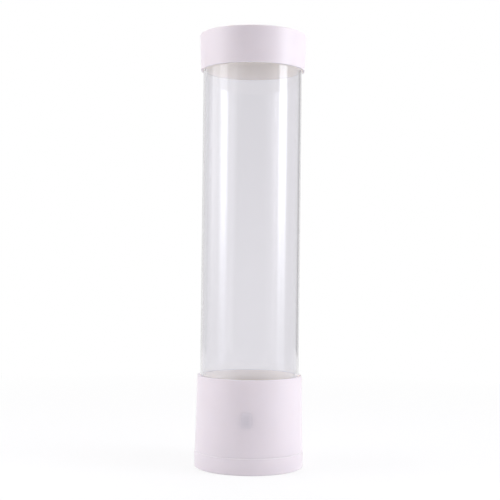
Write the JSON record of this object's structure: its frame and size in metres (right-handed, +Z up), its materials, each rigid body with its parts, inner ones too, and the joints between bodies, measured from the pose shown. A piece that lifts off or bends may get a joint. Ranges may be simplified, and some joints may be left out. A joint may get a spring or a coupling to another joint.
{
  "type": "cup dispenser",
  "caption": "Wall-hung push-button dispenser that drops paper cups one at a time from a clear tube with a white cap and base.",
  "frame": {"origin": "on the tube's axis at the underside of the bottom ring", "axes": "+Z up along the tube, -Y the front with the button, +Y towards the wall"},
  "size_m": [0.1104, 0.1136, 0.437],
  "materials": {
    "white_plastic": "satin-gloss moulded white ABS with a faint warm tint",
    "clear_plastic": "clear polished plastic tube",
    "button_plastic": "soft matt pale grey-blue",
    "inner_plastic": "matt natural white",
    "catch_plastic": "matt light grey acetal",
    "bracket_plastic": "matt white ABS",
    "steel": "zinc-plated steel"
  },
  "bodies": {
    "dispenser": {"base_housing": "white_plastic", "tube": "clear_plastic", "cup_guide": "inner_plastic", "mechanism_tray": "inner_plastic", "lever_pin": "steel", "tray_screw_1": "steel", "tray_screw_2": "steel", "tray_screw_3": "steel", "tray_screw_4": "steel", "return_spring_1": "steel", "return_spring_2": "steel", "return_spring_3": "steel", "return_spring_4": "steel"},
    "lid": {"cap": "white_plastic"},
    "ring": {"bottom_ring": "white_plastic"},
    "button": {"release_button": "button_plastic", "button_frame": "catch_plastic"},
    "counter": {"counter_frame": "catch_plastic"},
    "lever": {"reversing_lever": "catch_plastic"},
    "bracket": {"wall_bracket": "bracket_plastic"}
  },
  "joints": [
    {"name": "cap_lift", "type": "slide", "parent": "dispenser", "child": "lid", "axis": [0, 0, 1], "range_m": [0, 0.05]},
    {"name": "button_press", "type": "slide", "parent": "dispenser", "child": "button", "axis": [0, 1, 0], "range_m": [0, 0.0035], "stiffness_N_per_m": 300, "springref_m": -0.0035, "deforming": ["return_spring_1", "return_spring_2"]},
    {"name": "counter_slide", "type": "slide", "parent": "dispenser", "child": "counter", "axis": [0, -1, 0], "range_m": [0, 0.0035], "deforming": ["return_spring_3", "return_spring_4"]},
    {"name": "lever_swing", "type": "hinge", "parent": "dispenser", "child": "lever", "pos_m": [0, 0.0438, 0.0458], "axis": [0, 0, 1], "range_deg": [0, 18.31]},
    {"name": "ring_turn", "type": "hinge", "parent": "dispenser", "child": "ring", "pos_m": [0, 0, 0.008], "axis": [0, 0, 1], "range_deg": [0, 20]},
    {"name": "bracket_slide", "type": "slide", "parent": "dispenser", "child": "bracket", "axis": [0, 0, -1], "range_m": [0, 0.058]}
  ],
  "couplings": [
    {"joint": "counter_slide", "follows": "button_press", "ratio": 1},
    {"joint": "lever_swing", "follows": "button_press", "rad_per_m": 91.296}
  ]
}
